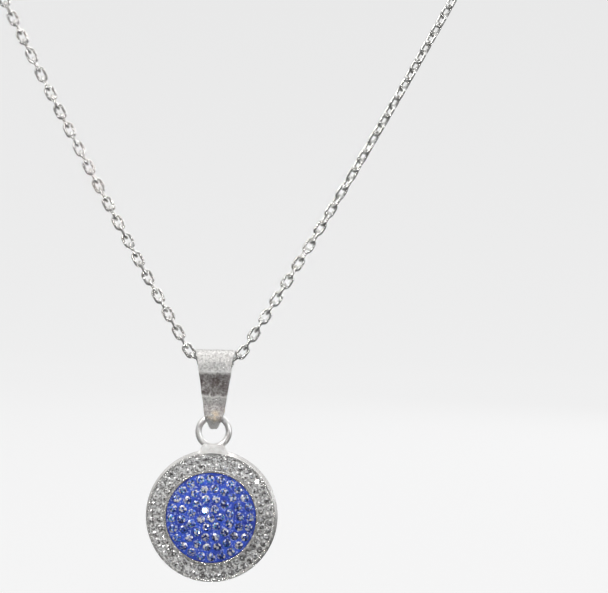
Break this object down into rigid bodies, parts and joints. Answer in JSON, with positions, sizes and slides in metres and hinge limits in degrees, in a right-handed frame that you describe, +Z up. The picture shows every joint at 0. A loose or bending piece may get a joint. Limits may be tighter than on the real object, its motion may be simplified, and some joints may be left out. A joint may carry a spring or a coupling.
{
  "type": "pendant necklace",
  "caption": "Fine cable-chain necklace with a lobster clasp, a folded tapering bail and a round disc pendant: a domed blue crystal centre within a ring of clear crystals",
  "frame": {"origin": "centre of the neck opening", "axes": "+Z up as the necklace hangs when worn, +Y towards the nape, the pendant faces -Y"},
  "size_m": [0.116, 0.0821, 0.1682],
  "materials": {
    "chain_silver": "polished",
    "clasp_silver": "polished",
    "spring_steel": "satin",
    "bail_silver": "satin",
    "solder": "satin",
    "ring_silver": "polished",
    "pendant_silver": "polished",
    "white_clay": "matte",
    "blue_clay": "matte",
    "clear_crystal": "gloss",
    "blue_crystal": "gloss"
  },
  "bodies": {
    "necklace": {"bail_links": "chain_silver", "chain_left_1": "chain_silver", "chain_left_2": "chain_silver", "chain_left_3": "chain_silver", "chain_left_4": "chain_silver", "chain_left_5": "chain_silver", "chain_left_6": "chain_silver", "chain_right_1": "chain_silver", "chain_right_2": "chain_silver", "chain_right_3": "chain_silver", "chain_right_4": "chain_silver", "chain_right_5": "chain_silver", "chain_right_6": "chain_silver", "clasp_body": "clasp_silver", "gate_pin": "clasp_silver", "gate_spring": "spring_steel", "clasp_jump_ring": "clasp_silver", "end_ring": "clasp_silver"},
    "clasp_gate": {"clasp_gate": "clasp_silver"},
    "bail": {"bail_strap": "bail_silver", "bail_solder": "solder"},
    "pendant": {"pendant_ring": "ring_silver", "ring_foot": "ring_silver", "halo_tray": "pendant_silver", "halo_clay": "white_clay", "halo_crystals_inner": "clear_crystal", "halo_crystals_outer": "clear_crystal", "centre_cup": "pendant_silver", "centre_clay": "blue_clay", "centre_crystals_ring_0": "blue_crystal", "centre_crystals_ring_1": "blue_crystal", "centre_crystals_ring_2": "blue_crystal", "centre_crystals_ring_3": "blue_crystal", "centre_crystals_ring_4": "blue_crystal"}
  },
  "joints": [
    {"name": "bail_swing", "type": "hinge", "parent": "necklace", "child": "bail", "pos_m": [0, -0.03046, -0.10683], "axis": [1, 0, 0], "range_deg": [-75, 75]},
    {"name": "pendant_swing", "type": "hinge", "parent": "bail", "child": "pendant", "pos_m": [0, -0.03046, -0.11363], "axis": [1, 0, 0], "range_deg": [-60, 60]},
    {"name": "gate_swing", "type": "hinge", "parent": "necklace", "child": "clasp_gate", "pos_m": [0.00019, 0.04847, 0.02984], "axis": [0, -0.8387, -0.5446], "range_deg": [0, 18], "stiffness_Nm_per_rad": 0.00002, "springref_deg": -11.46}
  ]
}
